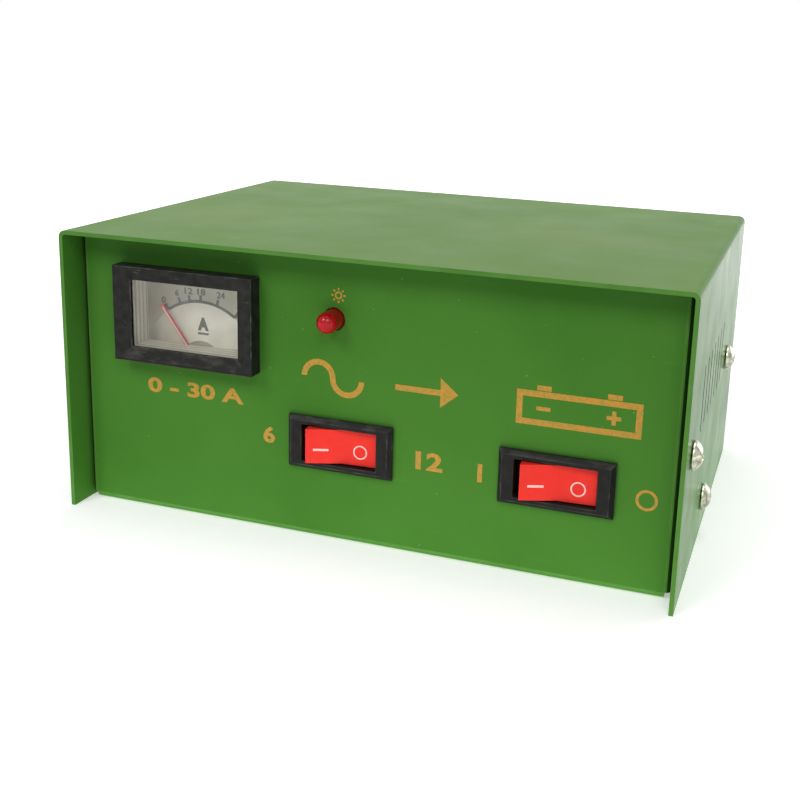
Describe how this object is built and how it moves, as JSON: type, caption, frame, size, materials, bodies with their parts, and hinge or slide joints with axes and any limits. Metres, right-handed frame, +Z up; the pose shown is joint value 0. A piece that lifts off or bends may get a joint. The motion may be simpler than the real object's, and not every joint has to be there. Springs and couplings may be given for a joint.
{
  "type": "car battery charger",
  "caption": "Bench battery charger: folded green steel case with hooded front panel, ammeter, pilot lamp and red rocker switches, slotted sides, transformer and rectifier inside.",
  "frame": {"origin": "middle of the footprint, on the surface that the charger stands on", "axes": "+X to the right seen from the front, +Y from the front panel to the back, +Z up"},
  "size_m": [0.1858, 0.131, 0.084],
  "materials": {
    "green_paint": "semi-gloss enamel",
    "zinc_steel": "bright zinc plate",
    "brass": "plain",
    "aluminium": "mill finish",
    "lamination_steel": "varnished laminations",
    "copper_wire": "enamelled wire",
    "winding_tape": "film tape",
    "black_plastic": "moulded",
    "grey_plastic": "moulded",
    "bobbin_plastic": "moulded",
    "red_plastic": "moulded",
    "lamp_red": "clear tinted",
    "pointer_red": "painted",
    "dial_silver": "satin",
    "black_rubber": "moulded",
    "clear_window": "clear",
    "red_lead": "wire sleeve",
    "black_lead": "wire sleeve",
    "blue_lead": "wire sleeve"
  },
  "bodies": {
    "case": {"cover": "green_paint", "chassis": "green_paint", "cover_screw_left_front": "zinc_steel", "cover_screw_left_low": "zinc_steel", "cover_screw_left_rear": "zinc_steel", "meter_stud_left": "brass", "meter_nut_left": "brass", "transformer_screw_left": "zinc_steel", "heat_sink_screw_left": "zinc_steel", "cover_screw_right_front": "zinc_steel", "cover_screw_right_low": "zinc_steel", "cover_screw_right_rear": "zinc_steel", "meter_stud_right": "brass", "meter_nut_right": "brass", "transformer_screw_right": "zinc_steel", "heat_sink_screw_right": "zinc_steel", "mains_grommet": "black_rubber", "leads_grommet": "black_rubber", "meter_frame": "black_plastic", "meter_window": "clear_window", "meter_case": "grey_plastic", "meter_dial": "dial_silver", "meter_bush": "brass", "meter_bracket": "zinc_steel", "meter_coil": "copper_wire", "lamp_lens": "lamp_red", "lamp_clip": "black_plastic", "selector_housing": "black_plastic", "power_housing": "black_plastic", "selector_terminal_1": "brass", "selector_terminal_2": "brass", "selector_terminal_3": "brass", "power_terminal_1": "brass", "power_terminal_2": "brass", "transformer_core": "lamination_steel", "transformer_bobbin": "bobbin_plastic", "primary_winding": "copper_wire", "secondary_winding": "winding_tape", "transformer_clamp": "zinc_steel", "heat_sink": "aluminium", "rectifier": "black_plastic", "rectifier_screw": "zinc_steel", "rectifier_nut": "zinc_steel", "fuse_block": "bobbin_plastic", "fuse": "zinc_steel", "fuse_screw": "zinc_steel", "primary_lead": "black_lead", "low_tap_lead": "blue_lead", "high_tap_lead": "blue_lead", "common_lead": "blue_lead", "meter_lead": "red_lead", "fuse_lead": "red_lead", "lamp_lead": "black_lead"},
    "selector": {"selector_rocker": "red_plastic"},
    "power": {"power_rocker": "red_plastic"},
    "pointer": {"meter_pointer": "pointer_red"}
  },
  "joints": [
    {"name": "selector_tip", "type": "hinge", "parent": "case", "child": "selector", "pos_m": [-0.0053, -0.0552, 0.0288], "axis": [0, 0, 1], "range_deg": [-24, 0]},
    {"name": "power_tip", "type": "hinge", "parent": "case", "child": "power", "pos_m": [0.0563, -0.0552, 0.028], "axis": [0, 0, 1], "range_deg": [-24, 0]},
    {"name": "pointer_swing", "type": "hinge", "parent": "case", "child": "pointer", "pos_m": [-0.052, -0.0534, 0.0456], "axis": [0, 1, 0], "range_deg": [0, 74], "stiffness_Nm_per_rad": 0.0005}
  ]
}
